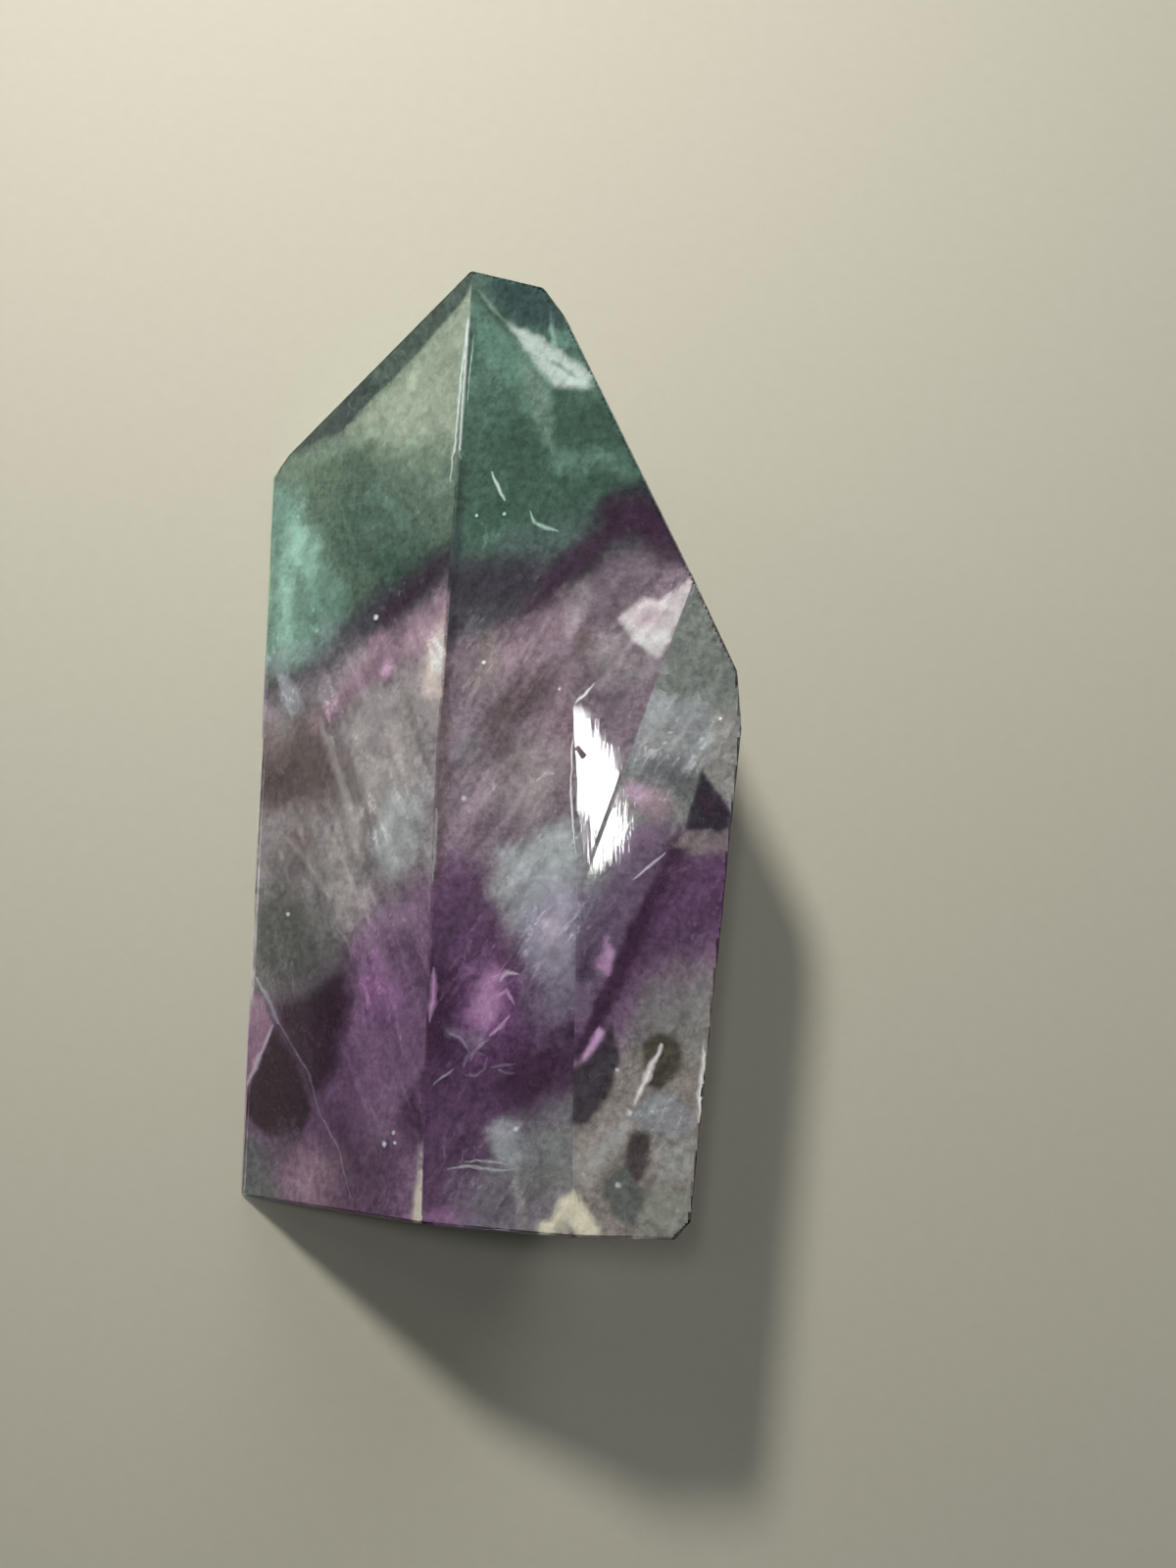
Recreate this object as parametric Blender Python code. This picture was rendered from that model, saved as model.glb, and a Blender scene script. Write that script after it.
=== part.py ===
"""Faceted fluorite point, lying on one long flat side with its tip along +Y."""

import math

import bmesh
import bpy
from mathutils import Matrix, Vector

MM = 0.001

# Overall length, the heel face, the tip and the starting block, in millimetres
LENGTH = 50.4
HEEL = -25.0
TIP = HEEL + LENGTH
BLOCK_SPAN = 80.0

# Shift that centres the finished stone over the origin
CENTRING = (0.12, -0.19, 0.0)

# Edge softening left by polishing
EDGE_SOFTENING = 0.14
EDGE_STEPS = 2

# Corners along the ground side
LEFT_HEEL = (-13.1, HEEL, 0.0)
LEFT_SHOULDER = (-13.8, 17.3, 0.0)
FOOT_TIP = (-8.3, 19.8, 0.0)
KEEL_TIP = (-5.5, 20.85, 0.0)
KEEL_BEND = (5.7, -15.4, 0.0)
KEEL_HEEL = (4.75, HEEL, 0.0)

# Corners along the sloping left ridge
RIDGE_HEEL = (-1.8, HEEL, 9.75)
RIDGE_SHOULDER = (-1.4, 14.95, 10.4)
RIDGE_TIP = (-1.05, 24.4, 10.7)
SIDE_NICK = (-12.65, 18.45, 1.0)
SHOULDER_FOOT = (-12.75, 18.2, 0.0)

# Corners around the two nearly level top facets
CREST_HEEL = (5.8, HEEL, 13.0)
RIGHT_HEEL = (11.3, HEEL, 12.85)
CROWN = (5.7, -8.3, 13.15)
BROW = (11.05, 7.5, 13.15)
CREST_TIP = (2.8, 23.7, 12.35)

# Corners at the tip and down the undercut right side
TIP_LEFT = (-1.3, TIP, 10.4)
TIP_RIGHT = (4.05, 21.95, 12.45)
TIP_FOOT = (0.4, 22.7, 6.8)
TIP_SIDE_FOOT = (2.6, 21.6, 7.2)
BROW_FOOT = (10.2, 7.5, 5.2)
TEMPLE = (13.3, 2.8, 13.05)
TEMPLE_FOOT = (10.6, 7.5, 5.2)
CHEEK = (13.55, -0.2, 13.0)
CHEEK_FOOT = (12.3, 2.8, 8.0)
HIP = (13.15, -4.75, 13.0)
FLANK = (11.6, -1.65, 9.3)

# Worn corner where the heel meets the right flank
HEEL_CORNER_IN = (10.6, HEEL, 12.85)
HEEL_CORNER_UP = (11.4, -24.1, 12.85)
HEEL_CORNER_FOOT = (4.1, HEEL, 0.0)

FACETS = {
    "ground": (LEFT_HEEL, LEFT_SHOULDER, KEEL_HEEL),
    "heel": (LEFT_HEEL, RIDGE_HEEL, CREST_HEEL),
    "left_slope": (LEFT_HEEL, LEFT_SHOULDER, RIDGE_HEEL),
    "left_tip_slope": (SIDE_NICK, RIDGE_SHOULDER, RIDGE_TIP),
    "left_tip_undercut": (SIDE_NICK, TIP_LEFT, FOOT_TIP),
    "left_shoulder_cut": (LEFT_SHOULDER, SIDE_NICK, SHOULDER_FOOT),
    "middle_slope": (RIDGE_HEEL, CREST_HEEL, CROWN),
    "top_near_tip": (CROWN, CREST_TIP, BROW),
    "top_near_heel": (CREST_HEEL, RIGHT_HEEL, CROWN),
    "tip_end": (TIP_LEFT, CREST_TIP, TIP_FOOT),
    "tip_side": (CREST_TIP, TIP_RIGHT, TIP_SIDE_FOOT),
    "brow_side": (TIP_RIGHT, BROW, BROW_FOOT),
    "temple_side": (BROW, TEMPLE, TEMPLE_FOOT),
    "cheek_side": (TEMPLE, CHEEK, CHEEK_FOOT),
    "hip_side": (CHEEK, HIP, FLANK),
    "keel": (FLANK, KEEL_BEND, KEEL_TIP),
    "right_flank": (HIP, RIGHT_HEEL, KEEL_HEEL),
    "heel_corner": (HEEL_CORNER_IN, HEEL_CORNER_UP, HEEL_CORNER_FOOT),
}

# Point well inside the stone, used to tell each facet's outer side
CORE = Vector((0.0, 0.0, 6.0))

# Shell-shaped chips on the edges: centre, radii, turn about Z in degrees
FLAKES = {
    "crest_heel": ((5.35, -23.7, 13.2), (0.85, 1.9, 0.42), 4.0),
    "heel_middle": ((2.0, -25.2, 11.6), (0.9, 0.45, 0.6), 0.0),
    "ridge_heel": ((-1.8, -25.1, 9.9), (0.45, 0.6, 0.4), 0.0),
    "cheek": ((13.75, 0.2, 13.1), (0.35, 0.6, 0.35), 5.0),
    "left_edge": ((-13.75, -8.6, 0.3), (0.4, 0.8, 0.45), 0.0),
    "tip": ((0.9, 24.95, 11.55), (0.5, 0.22, 0.3), -24.0),
}

# Straight-sided cleavage nicks on the edges: centre, length, turn about Z in degrees
CLEAVAGES = {
    "crest_upper": ((5.05, 1.3, 13.05), 1.1, 35.0),
    "crest_lower": ((5.45, -1.6, 13.15), 0.7, 38.0),
    "brow": ((11.1, 7.6, 13.2), 0.6, 30.0),
    "ridge_shoulder": ((-1.45, 14.9, 10.55), 0.5, 20.0),
    "flank": ((11.9, -17.0, 12.95), 0.7, 10.0),
}
CLEAVAGE_WIDTH = 0.5
CLEAVAGE_DEPTH = 0.36


def clear_scene():
    """Start from an empty scene."""
    for thing in list(bpy.data.objects):
        bpy.data.objects.remove(thing, do_unlink=True)


def crystal_material():
    """Clear polished fluorite with a green and violet cast."""
    material = bpy.data.materials.new("fluorite")
    material.use_nodes = True
    shader = next(n for n in material.node_tree.nodes if n.type == "BSDF_PRINCIPLED")
    shader.inputs["Base Color"].default_value = (0.62, 0.66, 0.60, 1.0)
    shader.inputs["Roughness"].default_value = 0.04
    shader.inputs["Metallic"].default_value = 0.0
    shader.inputs["IOR"].default_value = 1.434
    shader.inputs["Transmission Weight"].default_value = 1.0
    material.diffuse_color = (0.45, 0.52, 0.48, 0.6)
    return material


def outward_normal(corners):
    """Unit normal of the plane through three corners, facing away from the core."""
    a, b, c = (Vector(corner) for corner in corners)
    normal = (b - a).cross(c - a).normalized()
    if normal.dot(CORE - a) > 0.0:
        normal.negate()
    return normal


def cut_facet(mesh, corners):
    """Slice the block along one facet plane and close the cut."""
    whole = mesh.verts[:] + mesh.edges[:] + mesh.faces[:]
    cut = bmesh.ops.bisect_plane(
        mesh,
        geom=whole,
        dist=1e-6,
        plane_co=Vector(corners[0]) * MM,
        plane_no=outward_normal(corners),
        clear_outer=True,
    )
    rim = [part for part in cut["geom_cut"] if isinstance(part, bmesh.types.BMEdge)]
    if rim:
        bmesh.ops.edgeloop_fill(mesh, edges=rim)


def stone_mesh():
    """Block cut by every facet plane in turn."""
    mesh = bmesh.new()
    bmesh.ops.create_cube(mesh, size=BLOCK_SPAN * MM)
    for corners in FACETS.values():
        cut_facet(mesh, corners)
    bmesh.ops.recalc_face_normals(mesh, faces=mesh.faces[:])
    return mesh


def object_from(mesh, name):
    """Object that holds a finished mesh."""
    data = bpy.data.meshes.new(name)
    mesh.to_mesh(data)
    mesh.free()
    thing = bpy.data.objects.new(name, data)
    thing.location = Vector(CENTRING) * MM
    bpy.context.scene.collection.objects.link(thing)
    return thing


def add_flake(mesh, centre, radii, turn):
    """Rounded cutter that leaves a shell-shaped chip."""
    shape = Matrix.Diagonal((*(radius * MM for radius in radii), 1.0))
    spin = Matrix.Rotation(math.radians(turn), 4, "Z")
    place = Matrix.Translation(Vector(centre) * MM)
    bmesh.ops.create_icosphere(mesh, subdivisions=3, radius=1.0, matrix=place @ spin @ shape)


def add_cleavage(mesh, centre, length, turn):
    """Box on its edge that leaves a V-shaped nick with flat sides."""
    size = (CLEAVAGE_WIDTH * MM, length * MM, CLEAVAGE_DEPTH * MM, 1.0)
    tip_over = Matrix.Rotation(math.radians(38.0), 4, "Y")
    spin = Matrix.Rotation(math.radians(turn), 4, "Z")
    place = Matrix.Translation(Vector(centre) * MM)
    bmesh.ops.create_cube(mesh, size=1.0, matrix=place @ spin @ tip_over @ Matrix.Diagonal(size))


def wear_cutter():
    """All the small chips and nicks as one hidden cutter."""
    mesh = bmesh.new()
    for centre, radii, turn in FLAKES.values():
        add_flake(mesh, centre, radii, turn)
    for centre, length, turn in CLEAVAGES.values():
        add_cleavage(mesh, centre, length, turn)
    cutter = object_from(mesh, "wear_cutter")
    cutter.hide_render = True
    return cutter


def build_point():
    """The stone with softened edges and worn corners."""
    stone = object_from(stone_mesh(), "fluorite_point")
    stone.data.materials.append(crystal_material())
    softening = stone.modifiers.new("edge_softening", "BEVEL")
    softening.width = EDGE_SOFTENING * MM
    softening.segments = EDGE_STEPS
    softening.limit_method = "ANGLE"
    softening.angle_limit = math.radians(2.0)
    wear = stone.modifiers.new("wear", "BOOLEAN")
    wear.operation = "DIFFERENCE"
    wear.solver = "EXACT"
    wear.object = wear_cutter()
    return stone


clear_scene()
build_point()
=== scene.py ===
"""Polished fluorite point on a pale floor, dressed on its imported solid."""

import collections
import itertools
import math
import random

import bmesh
import bpy
import numpy as np
from mathutils import Matrix, Vector


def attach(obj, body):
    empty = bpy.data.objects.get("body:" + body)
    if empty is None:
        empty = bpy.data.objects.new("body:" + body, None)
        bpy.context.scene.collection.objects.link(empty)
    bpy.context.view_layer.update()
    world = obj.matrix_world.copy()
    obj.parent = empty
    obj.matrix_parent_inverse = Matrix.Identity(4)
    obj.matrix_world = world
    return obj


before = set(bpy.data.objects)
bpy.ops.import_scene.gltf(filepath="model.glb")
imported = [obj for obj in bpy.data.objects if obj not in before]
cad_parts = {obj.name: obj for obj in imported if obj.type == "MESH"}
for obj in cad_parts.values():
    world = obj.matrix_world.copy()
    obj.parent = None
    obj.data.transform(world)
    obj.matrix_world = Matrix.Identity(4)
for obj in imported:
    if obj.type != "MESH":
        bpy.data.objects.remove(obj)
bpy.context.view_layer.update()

MM = 0.001
REFRACTION = 1.434

# Camera at the photograph's place: 85 mm above the floor and 9.2 degrees off straight down
CAMERA_PLACE = (6.33, -15.05, 85.2)
CAMERA_TILT = 9.2
CAMERA_TURN = 1.5
LENS = 33.75
SENSOR = 36.0

# Where the skin's colour zones rise and fall along the stone, in millimetres
GREEN_RISE = (7.8, 10.2)
BAND_RISE = (3.6, 7.4)
BAND_FALL = (8.4, 10.4)
VIOLET_RISE = (-22.0, -16.5)
VIOLET_FALL = (-12.5, -7.5)


def spot(x, y, z):
    """A place given in millimetres."""
    return Vector((x, y, z)) * MM


def new_object(name, data):
    """An object put in the scene."""
    thing = bpy.data.objects.new(name, data)
    bpy.context.scene.collection.objects.link(thing)
    return thing


class Nodes:
    """Short calls for wiring one material's nodes."""

    def __init__(self, name):
        self.material = bpy.data.materials.new(name)
        self.material.use_nodes = True
        self.tree = self.material.node_tree
        self.tree.nodes.clear()
        self.out = self.tree.nodes.new("ShaderNodeOutputMaterial")

    def add(self, kind, **settings):
        node = self.tree.nodes.new("ShaderNode" + kind)
        for key, value in settings.items():
            setattr(node, key, value)
        return node

    def link(self, source, target):
        self.tree.links.new(source, target)

    def put(self, socket, value):
        if isinstance(value, bpy.types.NodeSocket):
            self.link(value, socket)
        else:
            socket.default_value = value

    def fill(self, node, **values):
        """Set inputs of a node to constants; an underscore stands for a space."""
        for name, value in values.items():
            node.inputs[name.replace("_", " ")].default_value = value

    def sum(self, operation, a, b, c=0.0, clamp=False):
        node = self.add("Math", operation=operation, use_clamp=clamp)
        self.put(node.inputs[0], a)
        self.put(node.inputs[1], b)
        self.put(node.inputs[2], c)
        return node.outputs[0]

    def place(self):
        """Place on the stone in millimetres."""
        scaled = self.add("VectorMath", operation="SCALE")
        self.link(self.add("TexCoord").outputs["Object"], scaled.inputs[0])
        self.fill(scaled, Scale=1.0 / MM)
        return scaled.outputs[0]

    def along(self, vector, direction):
        """How far a place lies along a direction."""
        node = self.add("VectorMath", operation="DOT_PRODUCT")
        self.link(vector, node.inputs[0])
        node.inputs[1].default_value = direction
        return node.outputs["Value"]

    def stretched(self, vector, scale, turn):
        node = self.add("Mapping")
        self.link(vector, node.inputs["Vector"])
        self.fill(node, Scale=scale, Rotation=[math.radians(a) for a in turn])
        return node.outputs[0]

    def noise(self, vector, scale, detail, rough=0.55):
        node = self.add("TexNoise")
        self.put(node.inputs["Vector"], vector)
        self.fill(node, Scale=scale, Detail=detail, Roughness=rough)
        return node.outputs["Fac"]

    def step(self, value, low, high, start=0.0, end=1.0):
        """Smooth rise from one value to another."""
        node = self.add("MapRange", interpolation_type="SMOOTHSTEP")
        self.put(node.inputs["Value"], value)
        self.fill(node, From_Min=low, From_Max=high, To_Min=start, To_Max=end)
        return node.outputs["Result"]

    def blend(self, share, a, b, kind="MIX"):
        node = self.add("Mix", data_type="RGBA", blend_type=kind, clamp_factor=True)
        self.put(node.inputs[0], share)
        self.put(node.inputs[6], a)
        self.put(node.inputs[7], b)
        return node.outputs[2]

    def bump(self, height, strength, distance, normal=None):
        node = self.add("Bump")
        self.put(node.inputs["Height"], height)
        self.fill(node, Strength=strength, Distance=distance)
        if normal is not None:
            self.link(normal, node.inputs["Normal"])
        return node.outputs["Normal"]


def colour(red, green, blue):
    return (red, green, blue, 1.0)


def zone_colour(n):
    """Green tip, thin violet band, pale middle, violet zone and clear heel."""
    place = n.place()
    drift = n.sum("SUBTRACT", n.noise(place, 0.16, 3.0, 0.6), 0.5)
    fine = n.sum("SUBTRACT", n.noise(place, 0.55, 4.0, 0.65), 0.5)
    wander = n.sum("MULTIPLY_ADD", drift, 7.0, n.sum("MULTIPLY", fine, 3.0))
    upper = n.sum("ADD", n.along(place, (-0.26, 1.0, 0.0)), wander)
    lower = n.sum("ADD", n.along(place, (-0.40, 1.0, 0.0)), n.sum("MULTIPLY", wander, 1.5))
    green = n.step(upper, *GREEN_RISE)
    band = n.sum("MULTIPLY", n.step(upper, *BAND_RISE), n.step(upper, *BAND_FALL, 1.0, 0.0))
    violet = n.sum("MULTIPLY", n.step(lower, *VIOLET_RISE), n.step(lower, *VIOLET_FALL, 1.0, 0.0))
    pale = n.blend(n.noise(place, 0.30, 2.0), colour(0.84, 0.81, 0.84), colour(0.90, 0.90, 0.88))
    shade = n.blend(green, pale, n.blend(drift, colour(0.52, 0.70, 0.62), colour(0.62, 0.78, 0.70)))
    shade = n.blend(n.sum("MULTIPLY", band, 0.8), shade, colour(0.52, 0.44, 0.56))
    return n.blend(n.sum("MULTIPLY", violet, 0.85), shade, colour(0.60, 0.46, 0.66))


def crystal_material():
    """Clear fluorite that passes lamp light, with polish marks and colour zones."""
    n = Nodes("fluorite")
    place = n.place()
    shader = n.add("BsdfPrincipled")
    n.link(zone_colour(n), shader.inputs["Base Color"])
    n.fill(shader, Roughness=0.035, IOR=REFRACTION, Transmission_Weight=1.0)
    sway = n.bump(n.noise(place, 0.22, 1.0), 0.25, 0.00012)
    marks = n.noise(n.stretched(place, (6.0, 0.7, 6.0), (0.0, 0.0, 24.0)), 1.0, 2.0)
    n.link(n.bump(marks, 0.05, 0.00003, sway), shader.inputs["Normal"])
    lamp = n.add("BsdfTransparent")
    n.fill(lamp, Color=colour(0.86, 0.88, 0.87))
    pick = n.add("MixShader")
    n.link(n.add("LightPath").outputs["Is Shadow Ray"], pick.inputs[0])
    n.link(shader.outputs[0], pick.inputs[1])
    n.link(lamp.outputs[0], pick.inputs[2])
    n.link(pick.outputs[0], n.out.inputs["Surface"])
    body = n.add("VolumeAbsorption")
    n.fill(body, Color=colour(0.80, 0.84, 0.82), Density=90.0)
    n.link(body.outputs[0], n.out.inputs["Volume"])
    return n.material


def floor_material():
    n = Nodes("floor")
    shader = n.add("BsdfPrincipled")
    place = n.place()
    grain = n.noise(place, 1.3, 3.0)
    tone = n.blend(grain, colour(0.61, 0.58, 0.475), colour(0.65, 0.62, 0.515))
    n.link(tone, shader.inputs["Base Color"])
    n.fill(shader, Roughness=0.9, Specular_IOR_Level=0.1)
    n.link(shader.outputs[0], n.out.inputs["Surface"])
    return n.material


# Floor in metres: half its width, and how far it lies below the stone
FLOOR_HALF = 1.5
FLOOR_GAP = 0.00002


def build_floor():
    """Plain pale floor under the stone."""
    mesh = bmesh.new()
    bmesh.ops.create_grid(mesh, x_segments=2, y_segments=2, size=FLOOR_HALF)
    data = bpy.data.meshes.new("floor")
    mesh.to_mesh(data)
    mesh.free()
    floor = new_object("floor", data)
    floor.location = (0.0, 0.0, -FLOOR_GAP)
    floor.data.materials.append(floor_material())


def add_lamp(name, place, target, size, power, tint, roll=0.0):
    """Area lamp facing a target; a pair of sizes makes an ellipse, turned by the roll in degrees."""
    light = bpy.data.lights.new(name, "AREA")
    light.shape = "ELLIPSE" if isinstance(size, tuple) else "DISK"
    light.size = size[0] if isinstance(size, tuple) else size
    if isinstance(size, tuple):
        light.size_y = size[1]
    light.energy = power
    light.color = tint
    lamp = new_object(name, light)
    lamp.location = place
    lamp.rotation_euler = (target - place).to_track_quat("-Z", "Y").to_euler()
    rolled = lamp.rotation_euler.to_matrix() @ Matrix.Rotation(math.radians(roll), 3, "Z")
    lamp.rotation_euler = rolled.to_euler()
    return lamp


def mirror_place(point, normal, distance):
    """Where a lamp must stand for a flat facet to show it to the camera."""
    seen = (point - spot(*CAMERA_PLACE)).normalized()
    away = seen - 2.0 * seen.dot(normal) * normal
    return point + away * distance


# Lamps mirrored by a facet: lit point in millimetres, facet, distance and size in metres, power, tint, roll
Glint = collections.namedtuple("Glint", "name point facet distance size power tint roll")
COOL = (0.96, 1.0, 1.0)
PLAIN = (1.0, 1.0, 1.0)
GLINTS = (
    Glint("overhead", (6.85, -4.1, 13.05), (-0.059, 0.020, 0.998), 0.6, (0.023, 0.092), 0.26, COOL, -9.0),
    Glint("crest_glint", (5.35, -3.3, 13.0), (-0.171, 0.010, 0.985), 0.6, (0.008, 0.050), 0.03, COOL, 0.0),
    Glint("overhead_low", (6.7, -5.9, 13.0), (0.027, -0.009, 1.0), 0.6, (0.010, 0.044), 0.06, COOL, 20.0),
    Glint("ridge_glint", (-1.3, 19.2, 10.5), (-0.581, -0.011, 0.814), 0.3, (0.034, 0.034), 0.032, PLAIN, 0.0),
    Glint("ridge_glow", (-1.3, 19.2, 10.5), (-0.473, -0.011, 0.881), 0.3, (0.034, 0.034), 0.013, PLAIN, 0.0),
)
ROOM_TINT = (0.80, 0.86, 0.92, 1.0)
ROOM_STRENGTH = 0.05


def build_lights():
    """Soft key and fill lamps from the tip side and lamps for the polished glints."""
    middle = spot(0.0, -3.0, 5.0)
    way = Vector((-0.30, 0.95, 1.0)).normalized()
    add_lamp("key", middle + way * 0.15, middle, 0.022, 0.168, (1.0, 0.985, 0.94))
    add_lamp("fill", spot(170.0, 230.0, 190.0), middle, 0.16, 0.20, (0.96, 0.98, 1.0))
    for glint in GLINTS:
        point = spot(*glint.point)
        place = mirror_place(point, Vector(glint.facet).normalized(), glint.distance)
        add_lamp(glint.name, place, point, glint.size, glint.power, glint.tint, glint.roll)


def build_room():
    """Dim pale room around the stone."""
    world = bpy.data.worlds.new("room")
    world.use_nodes = True
    back = next(n for n in world.node_tree.nodes if n.type == "BACKGROUND")
    back.inputs["Color"].default_value = ROOM_TINT
    back.inputs["Strength"].default_value = ROOM_STRENGTH
    bpy.context.scene.world = world


def build_camera():
    """Camera over the stone, as the photograph was taken."""
    lens = bpy.data.cameras.new("camera")
    lens.lens = LENS
    lens.sensor_width = SENSOR
    lens.clip_start = 0.002
    camera = new_object("camera", lens)
    turn = Matrix.Rotation(math.radians(CAMERA_TURN), 4, "Z")
    tilt = Matrix.Rotation(math.radians(CAMERA_TILT), 4, "X")
    camera.matrix_world = Matrix.Translation(spot(*CAMERA_PLACE)) @ turn @ tilt
    bpy.context.scene.camera = camera


def dress_stone():
    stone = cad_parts["fluorite_point"]
    stone.data.materials.clear()
    stone.data.materials.append(crystal_material())


# Tints of the zones, clouds, cracks and painted highlights, reflections and shade, as they look in plain
# light (0 to 255)
TINTS = {
    "white": (232, 232, 228),
    "cream": (204, 196, 178),
    "shell": (204, 194, 196),
    "blush": (226, 184, 178),
    "pink": (188, 156, 184),
    "rose": (152, 128, 140),
    "orchid": (150, 114, 150),
    "lilac": (124, 104, 124),
    "violet": (106, 86, 106),
    "purple": (84, 64, 86),
    "plum": (62, 46, 60),
    "maroon": (45, 33, 41),
    "mauve": (110, 98, 107),
    "mint": (172, 192, 184),
    "sea": (120, 142, 136),
    "fern": (100, 120, 112),
    "lichen": (98, 106, 97),
    "green": (80, 96, 90),
    "moss": (64, 80, 72),
    "pine": (74, 78, 76),
    # Tint of the painted reflection on the left tip slope
    "pearl": (161, 158, 149),
    "sage": (124, 130, 122),
    "teal": (56, 66, 70),
    "graphite": (86, 90, 88),
    "slate": (76, 76, 80),
    "ink": (50, 46, 54),
    "umber": (82, 70, 70),
    "olive": (60, 56, 44),
    "taupe": (132, 126, 129),
    "greige": (156, 150, 150),
    "beige": (122, 116, 112),
    "stone": (112, 116, 113),
    "fog": (132, 132, 138),
    "mist": (156, 162, 164),
    "dusk": (104, 98, 108),
}

# From tint to linear light: gain, what is taken off, the sides' own gain, which paints on them the glow of
# light passing through the stone, and the limits
HAZE_GAIN = 1.66
HAZE_LIFT = 0.012
FLANK_PAINTED_GLOW_GAIN = 1.8
DARKEST = 0.005
LIGHTEST = 0.95

# Where the zone coordinates count from, seen from the stone's middle
ZONE_ORIGIN = np.array((-0.05, -0.29, 0.0))

# Where each growth zone ends, as X and Y on the left slope, the middle and the right flank
ZONES = {
    "left": {
        "tints": ("lichen", "slate", "taupe", "violet", "stone"),
        "green_foot": ((-13.6, 4.8), (-11, 5.2), (-9, 6.2), (-7.5, 7.2), (-5.5, 8.8), (-4, 9.8),
                       (-1.4, 10.6)),
        "band_foot": ((-13.6, 3.6), (-11, 3.8), (-9, 4.4), (-7, 5.4), (-5, 6.4), (-3, 7.2), (-1.4, 8.4)),
        "violet_head": ((-13.6, -14.5), (-10, -13.4), (-8, -12.2), (-6.6, -10.4), (-4.5, -8.6), (-1.4, -7.4)),
        "violet_foot": ((-13.6, -20), (-12, -22), (-10.4, -24.6), (-8.5, -28), (-1.4, -28)),
    },
    "middle": {
        "tints": ("green", "slate", "mauve", "purple", "dusk"),
        "green_foot": ((-1.8, 9.7), (0, 9.2), (2.7, 8.9), (4.6, 9.1), (5.7, 10.3), (7, 11.4), (9.5, 11.6)),
        "band_foot": ((-1.8, 4.4), (0, 4.6), (2, 5.6), (4, 6.6), (6, 8.2), (8, 9.4), (11, 9)),
        "violet_head": ((-1.8, -6.2), (0, -6.9), (1.2, -8.5), (2.2, -11.3), (4, -13), (6, -13.6)),
        "violet_foot": ((-1.8, -28), (0, -25.6), (1.5, -22), (3.6, -19.2), (6, -18)),
    },
    "flank": {
        "tints": ("green", "plum", "stone", "violet", "beige"),
        "green_foot": ((6, 30), (14, 30)),
        "band_foot": ((6, 30), (14, 30)),
        "violet_head": ((6, -11), (7.5, -7.4), (9, -5.6), (10.5, -5.2), (13.5, -6)),
        "violet_foot": ((6, -17.2), (7.5, -15.4), (9, -13), (10.5, -11.8), (13.5, -11.2)),
    },
}

# Zone borders from the tip down, and how softly each one fades in millimetres
ZONE_EDGES = (("green_foot", 0.6), ("band_foot", 1.1), ("violet_head", 1.7), ("violet_foot", 1.8))


class Cloud:
    """Soft round patch: centre, half width and half length, strength, turn in degrees and softness."""

    def __init__(self, tint, x, y, wide, long, strength, turn=0, soft=0.8):
        self.tint, self.strength, self.soft = tint, strength, soft
        self.centre, self.reach, self.turn = (x, y), (wide, long), math.radians(turn)
        self.loose = 1.0

    def share(self, points, ragged):
        """How strongly it covers each place."""
        east, north = points[:, 0] - self.centre[0], points[:, 1] - self.centre[1]
        across = (east * math.cos(self.turn) + north * math.sin(self.turn)) / self.reach[0]
        along = (north * math.cos(self.turn) - east * math.sin(self.turn)) / self.reach[1]
        size = np.hypot(across, along) + ragged * (0.15 + 0.25 * self.soft)
        return self.strength * (1.0 - smooth(size, 1.0 - self.soft, 1.0 + self.soft))


class Pane:
    """Straight-edged patch: strength, edge blur in millimetres and corners in turn."""

    def __init__(self, tint, strength, blur, *corners):
        self.tint, self.strength, self.blur = tint, strength, blur
        self.corners = corners
        self.loose = min(1.0, 0.2 + blur)

    def share(self, points, ragged):
        """How strongly it covers each place."""
        x, y = points[:, 0], points[:, 1]
        inside = np.zeros(len(points), dtype=bool)
        gap = np.full(len(points), 99.0)
        for (ax, ay), (bx, by) in zip(self.corners, self.corners[1:] + self.corners[:1]):
            east, north = bx - ax, by - ay
            along = np.clip(((x - ax) * east + (y - ay) * north) / (east ** 2 + north ** 2), 0.0, 1.0)
            gap = np.minimum(gap, np.hypot(x - ax - along * east, y - ay - along * north))
            if ay != by:
                inside ^= ((ay > y) != (by > y)) & (x < east * (y - ay) / north + ax)
        depth = np.where(inside, gap, -gap) + ragged * (0.04 + 0.3 * self.blur)
        return self.strength * smooth(depth, -self.blur, self.blur)


# Pale inner face at the heel that the middle shares with the flank
HEEL_STONE = Pane(
    "cream", 0.85, 0.22, (3.9, -25.6), (4.3, -24.4), (4.9, -24.1), (5.3, -23.1), (5.9, -22.6),
    (6.3, -23.2), (7.1, -24.4), (7, -25.6), (6.3, -25.6), (6.1, -24.5), (5.6, -24.3), (5.4, -25.6))
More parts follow.
